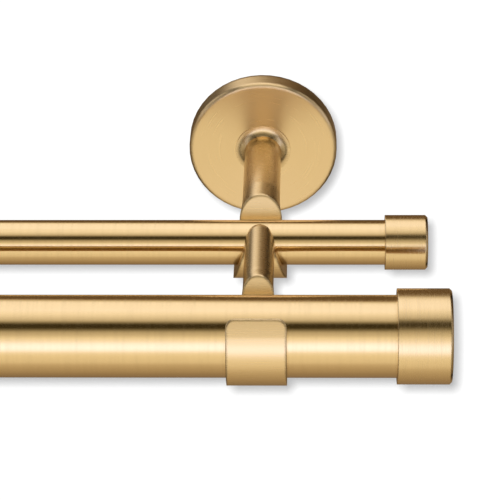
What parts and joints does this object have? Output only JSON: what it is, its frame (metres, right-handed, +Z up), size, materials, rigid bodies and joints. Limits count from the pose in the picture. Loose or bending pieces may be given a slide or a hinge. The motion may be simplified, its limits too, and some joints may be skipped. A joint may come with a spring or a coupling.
{
  "type": "double curtain pole",
  "caption": "Double curtain pole: a thick front pole and a thin back pole with cylindrical end caps, carried by wall brackets with a round flange, open saddle and cradle.",
  "frame": {"origin": "on the wall, at the middle of the four wall-screw holes: midway between the brackets and level with their rear arms", "axes": "+X along the poles, to the right as seen from the room; -Y from the wall into the room; +Z up"},
  "size_m": [0.711, 0.1501, 0.0555],
  "materials": {
    "brushed_brass": "brushed",
    "plate_steel": "zinc plated",
    "zinc_steel": "zinc plated",
    "brass_grub_screw": "brass plated steel"
  },
  "bodies": {
    "root": {"front_pole": "brushed_brass", "back_pole": "brushed_brass", "front_end_caps": "brushed_brass", "back_end_caps": "brushed_brass", "bracket_arms": "brushed_brass", "wall_flanges": "brushed_brass", "wall_plates": "plate_steel", "arm_bolts": "zinc_steel", "lock_washers": "zinc_steel", "flange_grub_screws": "brass_grub_screw", "back_pole_grub_screws": "brass_grub_screw", "front_pole_grub_screws": "brass_grub_screw", "back_cap_grub_screws": "brass_grub_screw", "front_cap_grub_screws": "brass_grub_screw"}
  },
  "joints": []
}
